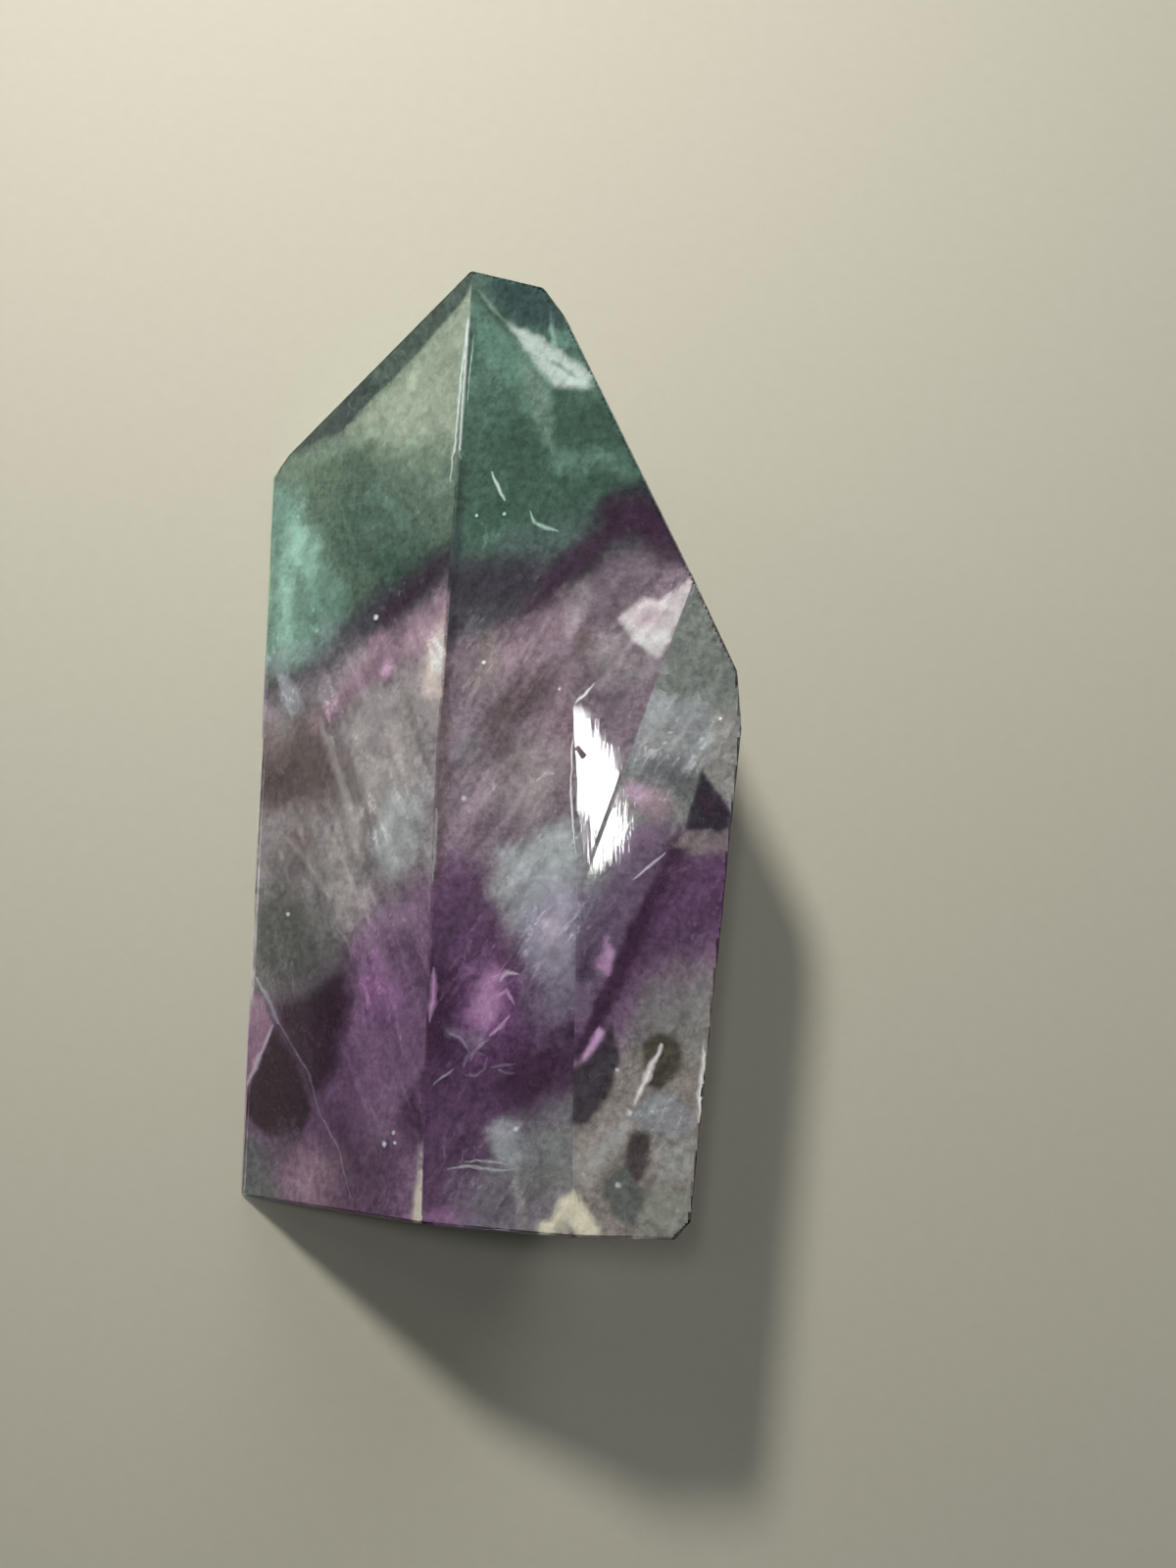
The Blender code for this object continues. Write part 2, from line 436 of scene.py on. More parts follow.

# Clouds, veils and inner faces of each part of the top, with some painted reflections and shade among them,
# painted in turn
LEFT_PATCHES = (
    Pane("sea", 0.85, 0.9, (-13.8, 16.8), (-11.6, 16.4), (-10.8, 13.8), (-9.4, 11), (-8.2, 8.4), (-9, 5.6),
         (-11.4, 4.9), (-13.8, 5.2)),
    Cloud("mint", -11.7, 13, 0.7, 1.7, 0.7, 8, 0.7),
    Cloud("mint", -10.4, 11, 0.6, 1.2, 0.5, 20),
    Cloud("mint", -12.2, 9.6, 0.5, 1.6, 0.6, 0, 0.7),
    Cloud("mint", -11.9, 6.8, 0.7, 1.1, 0.45),
    Cloud("fern", -9, 9, 1.1, 1.6, 0.6, 10),
    Cloud("green", -7.4, 13.4, 1.4, 1.6, 0.5, 20, 0.9),
    Cloud("green", -5.4, 10.8, 2, 1.2, 0.6, -10, 0.9),
    Cloud("moss", -4.6, 9.9, 1.8, 0.9, 0.5, -25),
    # Painted reflection: this sage fade and the pearl sheen below stand in for a bright room mirrored by the
    # left tip slope
    Pane("sage", 0.75, 1.4, (-9.4, 17.6), (-6.2, 16.6), (-4.4, 14.4), (-2.4, 12.4), (-0.6, 12.4), (-0.6, 20),
         (-7, 20)),
    Pane("pearl", 0.95, 1.6, (-9.2, 18.6), (-6.6, 20.6), (-3.6, 23.2), (-0.2, 25.4), (0.4, 15.6),
         (-3.4, 15.8), (-6.4, 17.4)),
    Pane("sage", 0.8, 0.5, (-13.6, 18), (-9, 18.8), (-7.6, 17.4), (-10, 17.1), (-12.3, 16.7)),
    # Painted shade: the dark band along the left tip's outline, where the undercut tip side shows darkness
    # through the skin
    Pane("graphite", 0.97, 0.12, (-12.8, 18.5), (-8.8, 18.8), (-6.7, 20.2), (-3.6, 22.2), (-1.35, 24),
         (-0.4, 26.2), (-4.5, 26), (-13.4, 20.5)),
    Pane("slate", 0.5, 0.5, (-12.8, 18.5), (-8.8, 18.8), (-6.6, 20.3), (-7.4, 21.6), (-13.4, 19.6)),
    Cloud("fern", -5.4, 13.2, 0.3, 2.4, 0.5, 34),
    Cloud("fern", -7, 12.7, 0.25, 1.5, 0.45, 78),
    Pane("plum", 0.8, 0.6, (-6, 7.2), (-3.8, 9.2), (-1, 10.4), (-1, 8.8), (-3.4, 7.4), (-5.6, 5.9)),
    Pane("rose", 0.75, 0.7, (-10.3, 2.4), (-8.2, 4.2), (-5.2, 5.7), (-1, 8.2), (-1, 5), (-4.2, 3.9),
         (-7.2, 2.4), (-9.6, 0.8)),
    Pane("violet", 0.45, 0.5, (-9, 2.4), (-6.6, 4.3), (-4.6, 5.4), (-3.8, 4.7), (-6.4, 3), (-8.4, 1.2)),
    Pane("greige", 0.55, 0.9, (-4.2, 3.8), (-1, 5.4), (-1, -1.5), (-3.2, 0.6)),
    Pane("blush", 0.7, 0.55, (-1, 8), (-2, 5.6), (-2.8, 3.8), (-2.6, 2.2), (-1, 1.2)),
    Cloud("blush", -1.9, 3.8, 0.6, 1.1, 0.8, 0, 0.7),
    Cloud("white", -1.8, 3.6, 0.3, 0.5, 0.5, 0, 0.7),
    Pane("fog", 0.7, 0.35, (-9.9, 3.4), (-8.1, 4.4), (-8.4, 3.1), (-9.5, 2.1)),
    Pane("mist", 0.95, 0.25, (-12.5, 5.2), (-11.6, 4.8), (-10.7, 3.7), (-10.2, 2.2), (-11.4, 2.2),
         (-11.9, 3.4)),
    Cloud("pink", -5, 4, 0.4, 0.35, 0.9, 0, 0.6),
    Cloud("rose", -5.7, 5.4, 0.28, 0.7, 0.8, -40, 0.6),
    Cloud("fog", -9.1, 5.5, 0.3, 0.5, 0.6, -20, 0.7),
    Pane("umber", 0.85, 1.5, (-13.8, 2.2), (-11.6, 1.6), (-10.1, 3), (-9, 1.6), (-7.7, -0.2), (-8, -2.6),
         (-9.6, -3.8), (-11.6, -3.2), (-13.8, -3.2)),
    Cloud("maroon", -11.8, -1.6, 1.3, 1.2, 0.5, 20),
    Pane("greige", 0.6, 0.5, (-7.5, 0.3), (-6, 2.8), (-3.6, 2.6), (-3, -2.6), (-4.4, -5.4), (-5.3, -5.4),
         (-6.3, -2.9)),
    Cloud("taupe", -5.2, 0.6, 1.2, 1.8, 0.6, 10),
    Pane("taupe", 0.6, 1, (-13.8, -3.6), (-9.6, -3.4), (-8.4, -6.4), (-11.6, -6.6), (-13.8, -7)),
    Cloud("umber", -10.2, -5.6, 1.6, 1.4, 0.45, 0, 0.9),
    Pane("mist", 0.6, 0.9, (-5.5, -5.2), (-4.5, -7.2), (-2.8, -6.6), (-2.2, -3.4), (-4.5, -2.8)),
    Pane("greige", 0.7, 0.35, (-7.3, -3), (-8.3, -6.6), (-7.7, -9.4), (-6.9, -11.1), (-6.5, -8.4), (-6, -5.4),
         (-6.2, -3.6)),
    Cloud("mist", -4.9, -6.2, 0.4, 1.3, 0.5, 24),
    Pane("pine", 0.85, 2.2, (-13.8, -8.2), (-11.5, -7), (-8.9, -8), (-7.5, -10.6), (-6.9, -12.2),
         (-8.6, -13.8), (-11.2, -14.4), (-13.8, -12)),
    Cloud("stone", -13, -9.8, 0.5, 2, 0.6),
    Pane("maroon", 0.85, 0.55, (-11, -14.6), (-8.8, -13.4), (-6.9, -12.2), (-6.3, -13.6), (-6.6, -16),
         (-7.2, -18.2), (-8.3, -19), (-9.6, -17.2)),
    Pane("maroon", 0.95, 0.3, (-11, -15.5), (-9.6, -17.3), (-8.3, -19.8), (-8.8, -21.2), (-11.2, -21.5),
         (-13, -20.4), (-12.8, -18.8), (-11.4, -15.7)),
    Pane("lilac", 0.65, 0.35, (-6.6, -10.8), (-5.9, -13.2), (-6.2, -15.6), (-5.5, -19), (-4.9, -22.4),
         (-3.6, -20.4), (-2.8, -18.6), (-1, -16), (-1, -8.2), (-4.4, -8.8)),
    Cloud("orchid", -5, -13.4, 0.7, 1.7, 0.75, 8),
    Cloud("orchid", -3.6, -14.4, 0.5, 1.2, 0.35),
    Pane("plum", 0.6, 0.35, (-1, -16.4), (-1.9, -17.2), (-2.9, -18.8), (-3.4, -20.2), (-2.6, -21.2),
         (-1, -20.8)),
    Pane("rose", 0.7, 0.25, (-13.7, -13.8), (-12.2, -13.6), (-11.3, -15.4), (-12.9, -18.9), (-13.8, -19.4)),
    Cloud("rose", -8.2, -23.4, 1.7, 1.4, 0.75),
    Pane("plum", 0.45, 1.2, (-8, -19), (-3, -21.5), (-3.4, -25.4), (-7, -25.4)),
    Pane("graphite", 0.7, 0.8, (-13.8, -20.8), (-11.8, -22), (-10.2, -25.4), (-13.8, -25.4)),
    Cloud("pine", -10.6, -22, 1.4, 0.8, 0.4, 40),
    Pane("greige", 0.55, 0.2, (-1.9, -21), (-1, -20.6), (-1, -25.4), (-2.4, -25.4), (-2.1, -23)),
    Pane("cream", 0.7, 0.12, (-1.8, -22.4), (-1.5, -22.2), (-1.5, -25.2), (-2.1, -25.2), (-2, -23.6)),
)

MIDDLE_PATCHES = (
    Cloud("moss", 3, 13.4, 4.4, 3.8, 0.6),
    Pane("moss", 0.5, 1.2, (4, 16.4), (6.6, 17.4), (9.4, 12.2), (6.8, 11.8), (5, 13)),
    # Painted shade: the same dark band of the undercut where it reaches the apex
    Pane("graphite", 0.6, 0.5, (-2, 26), (-0.4, 26), (0, 24.2), (-0.6, 23.2), (-2, 23.6)),
    Pane("teal", 0.85, 0.5, (-0.4, 26), (3.1, 25), (5, 22.6), (4.4, 21.8), (3.5, 21.2), (1.4, 21.8),
         (0.2, 23.6)),
    Pane("fern", 0.75, 0.35, (-1.4, 24), (0.4, 22.4), (2.4, 20), (3.2, 19.2), (3.9, 17), (3.8, 14.4),
         (3, 15.5), (1.5, 17.9), (-0.2, 20.4)),
    Pane("sage", 0.6, 0.4, (1.9, 19.4), (3.1, 18.6), (3.7, 17), (3.8, 14.8), (3.1, 15.9), (2.3, 17.4)),
    Pane("moss", 0.75, 0.5, (4, 17.4), (6.4, 17.4), (6.8, 15.4), (4.6, 14.9), (3.9, 15.4)),
    Pane("shell", 0.78, 0.24, (1.2, 21.9), (2.9, 20.8), (4.8, 19.4), (5.8, 18.6), (5.5, 17.9), (3.8, 18),
         (2.9, 19.2), (2.3, 20.1)),
    Cloud("white", 4.5, 18.7, 0.35, 1.1, 0.7, 62),
    Cloud("moss", 4.3, 18.9, 0.1, 0.9, 0.6, 66, 0.6),
    Cloud("sea", 4.4, 20.7, 0.6, 0.5, 0.55),
    Cloud("mint", 3.5, 21, 0.1, 0.8, 0.5, 6),
    Cloud("sea", 4.9, 14, 0.9, 0.6, 0.4, 0, 0.9),
    Cloud("sea", 6.4, 14.1, 1, 0.4, 0.4, -24, 0.9),
    Cloud("fern", 7.3, 13.4, 0.8, 0.4, 0.5, -24, 0.9),
    Cloud("moss", 1.4, 15.4, 1.6, 2, 0.4, 0, 0.9),
    Cloud("fern", 2.2, 9.9, 2.2, 0.6, 0.4, 0, 0.9),
    Pane("ink", 0.85, 0.45, (6.9, 12.5), (9.6, 12.8), (10, 10.8), (7, 10.9), (5.6, 10.2), (5.9, 11.4)),
    Pane("plum", 0.85, 0.45, (4.7, 9.2), (5.7, 10.1), (7, 10.9), (9.9, 10.8), (9.4, 9.8), (7, 9.8),
         (6.2, 8.2), (4.4, 6.8), (2.2, 5.6), (2.6, 6.6)),
    Cloud("ink", 0, 7.8, 2, 1, 0.4, 0, 0.9),
    Cloud("ink", 2.4, 7.4, 2.2, 1, 0.45, 10, 0.9),
    Pane("plum", 0.9, 0.6, (6.2, 11.8), (10.4, 11.8), (10.9, 9.8), (8.6, 9.4), (6.6, 9.7)),
    Pane("mauve", 0.6, 0.5, (6.9, 9), (8.4, 8.8), (10.4, 7.8), (9, 6.6), (7.2, 6.2), (5.4, 6)),
    Pane("plum", 0.8, 0.45, (8.2, 9.9), (10.2, 10.8), (11.4, 8.2), (9.4, 8.5)),
    Pane("rose", 0.35, 0.9, (0, 4.2), (2.6, 5.4), (4.6, 6.4), (5.2, 5), (3, 3.4), (0.6, 2.8)),
    Pane("greige", 0.5, 0.5, (4.9, 7), (5.8, 7.6), (5.4, 4.8), (4.8, 4.4)),
    Pane("umber", 0.85, 0.3, (5.1, 4.6), (6.2, 4.9), (6.3, 4), (5.3, 3.4)),
    Pane("taupe", 0.6, 0.5, (5.6, 3.8), (7, 5.2), (8.4, 3.6), (9.2, 3.2), (8.4, 1.6), (6.2, 1.8)),
    Pane("shell", 0.75, 0.18, (7.3, 5.4), (8, 6), (8.8, 6.5), (9.5, 6.4), (10.5, 7.3), (11.4, 7.9),
         (11.2, 6.8), (10.2, 5), (9.4, 3.4), (8.7, 3.8), (8.2, 4.7)),
    Cloud("rose", 9.2, 5.6, 0.6, 0.4, 0.5, 20),
    Cloud("white", 9.6, 4.6, 0.55, 0.32, 0.95, 10, 0.6),
    Cloud("white", 8.6, 4.3, 0.22, 0.7, 0.85, 50, 0.6),
    Cloud("umber", 7.2, 5.9, 0.5, 0.3, 0.5),
    Pane("umber", 0.6, 0.6, (0.6, -0.4), (0.9, 0.8), (2.2, 2.6), (3.9, 3.4), (4.7, 2.9), (3.4, 1.2),
         (1.8, -0.2)),
    Cloud("beige", 0.5, 3.4, 0.7, 1.5, 0.6, -10),
    Cloud("umber", 1.4, -0.8, 0.9, 1.2, 0.4, 20, 0.9),
    Cloud("rose", 4.4, -0.6, 0.9, 2.6, 0.4, -10, 0.9),
    Cloud("violet", 1.4, -3.8, 1.5, 1.7, 0.25, 0, 0.9),
    Cloud("greige", 3, -3, 1.9, 2, 0.5, -20, 0.9),
    Cloud("fog", -0.2, -1, 0.9, 1.2, 0.35, 0, 0.9),
    Pane("mist", 0.85, 0.8, (1.6, -6.2), (5.6, -5), (5.9, -13), (4.4, -12.4), (2.8, -10.6), (1.6, -8.6)),
    Cloud("mist", 4.2, -7.4, 0.9, 2, 0.6, -30, 0.9),
    Cloud("shell", 4.6, -10.3, 0.55, 0.7, 0.5, 0, 0.9),
    Cloud("dusk", 3.2, -8, 0.4, 1.4, 0.4, -36),
    Cloud("purple", -0.4, -9.8, 1.5, 2.4, 0.6),
    Cloud("fog", 4.9, -13.4, 1.2, 1.8, 0.65, 0, 0.9),
    Pane("plum", 0.75, 0.45, (-2, -12), (-0.4, -12.4), (-0.2, -14.4), (-0.6, -17), (-2, -16.6)),
    Cloud("orchid", 1.4, -14, 1.1, 1.8, 0.75, -8),
    Cloud("pink", 1.3, -13.8, 0.6, 1.1, 0.75, -8),
    Pane("plum", 0.9, 0.6, (6, -14.8), (4.6, -15.9), (2.6, -17), (2, -18.4), (3.6, -19.2), (5.6, -17.6)),
    Pane("ink", 0.9, 0.15, (5.7, -17.1), (6.6, -16.2), (7.6, -18.3), (7, -19.6), (5.7, -19.6)),
    Cloud("fog", -0.3, -15.6, 0.5, 0.3, 0.5, 0, 0.9),
    Cloud("fog", 1.05, -15.9, 0.5, 0.35, 0.5, 0, 0.9),
    Pane("mist", 0.65, 0.4, (1.5, -20.2), (2.4, -19.6), (3.3, -19.8), (3.8, -21.2), (2.9, -21.9), (2, -21.4)),
    Pane("dusk", 0.45, 0.5, (-0.4, -22), (2.8, -21.8), (3.4, -25.4), (0, -25.4)),
    Cloud("orchid", -0.4, -24.6, 1, 0.5, 0.5),
    Cloud("greige", 3.3, -23.4, 0.25, 1.7, 0.6, 10),
    Cloud("umber", 4.3, -22.8, 0.6, 1.2, 0.5, -30),
    Cloud("stone", 5, -21.4, 1.3, 2.4, 0.7, -20, 0.9),
    HEEL_STONE,
    Cloud("umber", 5.2, -24.7, 0.25, 0.5, 0.6, -20, 0.7),
    # Painted shade: a dark line along the ridge between the left slope and the middle, where its bevel shows
    # dark
    Pane("ink", 0.55, 0.2, (-2, 14.8), (-1.1, 14.8), (-1, 10), (-1.2, 4), (-2, 4)),
    Pane("umber", 0.5, 0.2, (-2, 4), (-1.2, 4), (-1.3, -8), (-2, -8)),
)

FLANK_PATCHES = (
    Pane("stone", 0.8, 0.6, (11.4, 8), (14.4, 3.4), (13.8, 1.4), (10.4, 2.2), (8.6, 1.4), (9.6, 4.4)),
    Pane("pine", 0.35, 0.9, (11.2, 7.6), (12.6, 4.6), (11, 3), (9.8, 3.4)),
    Pane("fog", 0.6, 0.5, (8.8, 1.8), (12.2, 1.2), (11.8, -2), (9.4, -3.2), (7.6, -1.8)),
    Cloud("greige", 9.6, -0.6, 1.2, 0.9, 0.4, -20, 0.9),
    Cloud("mist", 9.4, 0.4, 1.1, 1, 0.55, 0, 0.9),
    Pane("greige", 0.45, 0.4, (12, 0.8), (14.4, 1.2), (14.4, -4.2), (13.3, -4.8), (11.8, -2)),
    Pane("mist", 0.6, 0.2, (12.1, 0.1), (11.5, -1), (11.9, -1.7), (12.4, -0.6)),
    Cloud("slate", 10.4, -2.6, 1.1, 0.9, 0.6, -30),
    Cloud("rose", 8.8, -3.8, 1.2, 0.9, 0.75, -10),
    Cloud("pink", 8.4, -3.2, 0.5, 0.4, 0.6),
    Pane("violet", 0.7, 0.4, (7.4, -7.4), (8.3, -5.2), (10.2, -4.8), (9.4, -7.4)),
    Pane("dusk", 0.7, 0.4, (7.8, -7), (10.1, -5.9), (9.1, -8.4), (7.6, -11.8), (6.5, -14.3), (5, -16),
         (5.4, -9)),
    Pane("purple", 0.6, 0.9, (10.6, -6.2), (14, -6.6), (14, -10.6), (10.6, -11.4), (8.6, -12.4), (9.4, -8.6)),
    Cloud("purple", 12.8, -8.6, 0.5, 1.9, 0.8),
    # Painted reflection: these two plum panes are the dark line of the back facets mirrored inside the stone
    Pane("plum", 0.95, 0.2, (10.6, -5.2), (9.1, -8.4), (7.6, -11.8), (6.4, -14.6), (5.4, -16.6), (6.4, -16.6),
         (7.4, -14.8), (8.5, -12), (9.6, -8.8), (10.9, -6)),
    Pane("plum", 0.6, 0.7, (10.6, -5.2), (9.1, -8.4), (6.8, -14), (7.8, -15.2), (9.2, -12), (10.4, -8.8),
         (11.6, -6)),
    # Painted reflection: the dark triangle of a back facet mirrored inside, at the top of that line
    Pane("ink", 0.97, 0.1, (11.8, -2.1), (13.5, -4.8), (12.7, -5.3), (10.9, -5.3)),
    Cloud("plum", 12.2, -4, 0.5, 1, 0.6, 30),
    Pane("beige", 0.75, 0.2, (10.9, -5.35), (13.8, -5.2), (13.8, -6.2), (11.7, -6.5), (10.3, -6.1)),
    Pane("pink", 0.85, 0.16, (7.1, -10.6), (6.75, -12.1), (7.3, -12.5), (7.6, -11.4)),
    Cloud("ink", 6.1, -12.4, 0.3, 0.8, 0.5, -30),
    Pane("pink", 0.9, 0.14, (6.9, -15), (6, -16.6), (6.4, -16.8), (7.3, -15.5)),
    Pane("stone", 0.6, 0.8, (9.2, -13.2), (12.6, -11.8), (12.2, -16.2), (9.8, -16.4), (8, -15.6)),
    Cloud("lilac", 7.9, -14.6, 0.5, 1.6, 0.5, -16),
    Pane("greige", 0.45, 0.5, (5.6, -21.4), (8.4, -18.4), (9.2, -19.2), (6.8, -22.4)),
    Pane("ink", 0.9, 0.15, (5.7, -17.1), (6.6, -16.2), (7.5, -14.9), (8, -16.4), (7.6, -17.9),
         (7.1, -18.9), (6.4, -19.5), (5.7, -19.6)),
    Pane("olive", 0.85, 0.24, (8.9, -15.6), (9.9, -15), (11, -15.7), (10.8, -16.9), (10.1, -17.8),
         (9.3, -17.7), (9.1, -16.7)),
    Pane("fog", 0.75, 0.25, (8.7, -19.2), (9.5, -17.9), (10.6, -17.9), (12, -19.3), (10.8, -20.3),
         (9, -19.9)),
    Cloud("mist", 9.9, -18.9, 0.7, 0.5, 0.5),
    Pane("maroon", 0.75, 0.2, (8.5, -19.9), (9.7, -20), (9.5, -21.2), (8.9, -22.3), (8.2, -21.4)),
    Pane("graphite", 0.85, 0.18, (7.1, -22.6), (8.3, -21.4), (8.9, -22.4), (9.5, -22.7), (8.6, -24.4),
         (7.6, -23.7)),
    Pane("mist", 0.4, 0.5, (9.8, -20.8), (11.8, -20), (11.4, -22), (9.9, -22.2)),
    Pane("sage", 0.6, 0.5, (9.4, -22.8), (11.6, -22.6), (11.2, -25.2), (8.8, -25.2)),
    HEEL_STONE,
    Pane("greige", 0.8, 0.15, (6.6, -24.6), (9.8, -24.8), (9.8, -25.6), (6, -25.6)),
    Cloud("mist", 7.6, -20.4, 0.3, 1.8, 0.5, -36),
)

PATCHES = {"left": LEFT_PATCHES, "middle": MIDDLE_PATCHES, "flank": FLANK_PATCHES}

# Cracks, bright strokes and painted highlight lines: tint, half width at its middle, strength, points X, Y
STROKES = (
    ("mist", 0.24, 0.55, ((-12.8, -12.6), (-11.9, -13.7), (-10.9, -15.3))),
    ("fog", 0.1, 0.4, ((-10.9, -15.2), (-9.8, -16.6), (-8.7, -18), (-8, -19.8), (-6.6, -21.8),
     (-5.7, -24.2))),
    ("shell", 0.26, 0.55, ((-11.3, -15.4), (-12.1, -17.1), (-12.9, -18.9))),
    ("pink", 0.24, 0.55, ((-1.5, -12.2), (-1.5, -13.6), (-1.6, -15))),
    ("mist", 0.16, 0.4, ((-1.75, -4), (-1.75, -6.2), (-1.8, -8))),
    # Painted highlight: the glint on the tip ridge's rounding, widened
    ("white", 0.12, 0.85, ((-1.2, 22.5), (-1.45, 18), (-1.75, 13.6))),
    # Painted highlight: the bright line on the edge at the left of the large lamp reflection
    ("white", 0.07, 0.9, ((5.45, 0.4), (5.2, -1.5), (5.3, -4.4), (5.6, -6.8))),
    # Painted highlight: a thinner second glint beside the tip ridge
    ("mist", 0.07, 0.7, ((-0.75, 21.8), (-0.85, 20), (-0.95, 18))),
    ("white", 0.13, 0.8, ((0.5, 13.8), (0.9, 13), (1.3, 12.1))),
    ("mint", 0.16, 0.7, ((2.7, 11.4), (2.9, 10.7), (3.5, 10.4), (4.2, 10.1))),
    ("sage", 0.18, 0.5, ((-0.6, 24.3), (0.4, 22.8), (1.3, 21.8))),
    ("mist", 0.09, 0.5, ((-1.28, -18.1), (-0.8, -17.65), (-0.25, -17.2))),
    ("mist", 0.12, 0.35, ((-0.6, -15.5), (-0.1, -15.65), (0.2, -15.95), (0.5, -16.4))),
    ("mist", 0.11, 0.35, ((1.5, -15.7), (1.1, -15.95), (0.75, -16.35), (0.5, -16.9))),
    ("fog", 0.14, 0.4, ((0.2, -17.2), (0.35, -16.75), (0.8, -16.4), (1.4, -16.5))),
    ("fog", 0.13, 0.35, ((1.45, -16.6), (1.3, -17.2), (0.9, -17.55), (0.3, -17.5))),
    ("fog", 0.12, 0.4, ((1.6, -17.15), (2.3, -16.95), (2.9, -16.85))),
    ("fog", 0.11, 0.35, ((2, -17.15), (2.4, -17.35), (2.85, -17.3))),
    ("mist", 0.12, 0.6, ((-0.4, -22.1), (0.8, -21.9), (2, -22), (3, -21.9))),
    ("mist", 0.09, 0.5, ((0.4, -21.7), (1.6, -21.6), (2.6, -21.7))),
    ("shell", 0.16, 0.6, ((1.9, -12.9), (2.3, -12.4), (2.9, -12.5))),
    ("pink", 0.16, 0.6, ((1.8, -13.6), (2.3, -13.3), (2.7, -14))),
    ("pink", 0.18, 0.6, ((1.5, -15.6), (2.1, -15.1), (2.5, -14.5))),
    ("plum", 0.12, 0.6, ((2, -13.2), (2.7, -12.9), (3.2, -13.1))),
    # Painted highlights: glints on the shoulder edge and on small chips around the large lamp reflection
    ("white", 0.12, 0.9, ((5.3, 1), (5.8, 1.5), (6.3, 2.1))),
    ("white", 0.13, 0.9, ((8.4, -4.7), (7.7, -5.8), (6.7, -7.2))),
    ("white", 0.09, 0.8, ((10, -6.4), (9.3, -7), (8.4, -7.8))),
    ("shell", 0.24, 0.95, ((10, -15.7), (9.4, -17), (8.7, -18.6))),
    # Painted reflection: a bright line just inside the right outline
    ("white", 0.2, 0.85, ((12, -15.7), (11.95, -17.6), (11.8, -19.4))),
    ("greige", 0.42, 0.32, ((-9.4, 2), (-8.2, -0.6), (-7.1, -3.4), (-6.6, -5.8))),
    ("greige", 0.36, 0.28, ((-11.6, -4.4), (-9.6, -6.2), (-8, -8.4))),
    ("umber", 0.34, 0.3, ((-10.1, 3.4), (-8.6, 1.5), (-7.5, 0.1), (-6.3, -3), (-5.3, -5.6))),
)

# Small bright spots: tint, X, Y, radius
FLECKS = (
    ("white", -5.9, 7, 0.16), ("mist", -3.4, -4.4, 0.1), ("mist", -10.7, -9.2, 0.13),
    ("mist", -3.9, -21.2, 0.14), ("mist", -3.4, -20.6, 0.12), ("mist", -3.3, -21.1, 0.1),
    ("white", 0.5, 3.5, 0.11), ("mist", 4.5, 1.8, 0.1), ("mist", -0.3, -3.6, 0.14),
    ("mist", 8.5, -19, 0.16), ("mist", 8, -22.4, 0.15), ("mist", 7.85, -17, 0.12),
    ("mist", 3, -20, 0.14), ("mint", -0.2, 11.5, 0.1), ("mint", 1.3, 11.4, 0.1),
    ("mist", 9.6, -18.9, 0.12), ("white", 12.6, 0.4, 0.1),
)

# Depths of the haze sheets in millimetres: the greatest, the rise for each one inward, and the least
Layer = collections.namedtuple("Layer", "depth rise least")
DEEP = Layer(2.0, 0.45, 0.05)
NEAR = Layer(0.4, 0.35, 0.04)
CRACKS_AND_HIGHLIGHTS = Layer(0.16, 0.2, 0.025)
FLANK = Layer(0.9, 0.25, 0.04)

# Grid steps, gap at the edges, a grid's first half size, least face and side, farthest push, patch sway
TOP_STEP = 0.13
FLANK_STEP = 0.3
SIDE_MARGIN = 0.05
PAST_STONE = 60.0
LEAST_FACE = 1.0e-3
LEAST_SIDE = 3.0
FARTHEST_PUSH = 0.45
SWAY = 0.3

# How much the noises lighten or darken the haze
TONE_SWING = 0.22
MARBLE_SWING = 0.10
CLEAR_MARBLE_SWING = 0.26
THREAD_SWING = 0.36
VEIL_SWING = 0.6

# Opacities of the haze, and where along the stone the clear part lies and the threads end
DEEP_OPACITY = 0.96
THIN_OPACITY = 0.06
THREAD_OPACITY = 0.42
FLANK_OPACITY = 0.74
CLEAR_RISE = (-17.0, -7.0)
CLEAR_FALL = (5.0, 10.0)
THREAD_FALL = (13.0, 16.0)

# A crack's ribbon: offsets and opacities across it, spacing, waver and width swing; a fleck's rim points
RIBBON = ((-1.0, 0.0), (-0.5, 0.5), (0.0, 1.0), (0.5, 0.5), (1.0, 0.0))
RIBBON_STEP = 0.1
RIBBON_WAVER = 0.045
WIDTH_SWING = 0.35
FLECK_RIM = 11

# Straight up, and the weights that scramble a noise cell's place
UPWARD = np.array((0.0, 0.0, 1.0))
HASH = np.array((127.1, 311.7, 74.7))


def haze_tint(name):
    """A named tint in linear light, lifted to look so through the stone."""
    channels = (np.array(TINTS[name]) / 255.0 + 0.055) / 1.055
    return np.clip(channels ** 2.4 * HAZE_GAIN - HAZE_LIFT, DARKEST, LIGHTEST)


def lattice_noise(points, seed):
    """Smooth noise from -1 to 1 that repeats exactly each run."""
    cell = np.floor(points)
    part = points - cell
    part = part * part * (3.0 - 2.0 * part)
    total = np.zeros(len(points))
    for corner in itertools.product((0, 1), repeat=3):
        turned = np.sin((cell + corner) @ HASH + seed * 0.731)
        value = np.modf(np.abs(turned) * 43758.5453)[0] * 2.0 - 1.0
        total += value * np.prod(np.where(corner, part, 1.0 - part), axis=1)
    return total


def fractal(points, scale, seed, octaves=4):
    """Noise with finer and finer grain, at places in millimetres."""
    total = np.zeros(len(points))
    for octave in range(octaves):
        total += lattice_noise(points * scale * 2.03 ** octave, seed + 17.0 * octave) * 0.55 ** octave
    return total


def smooth(value, low, high):
    share = np.clip((value - low) / (high - low), 0.0, 1.0)
    return share * share * (3.0 - 2.0 * share)


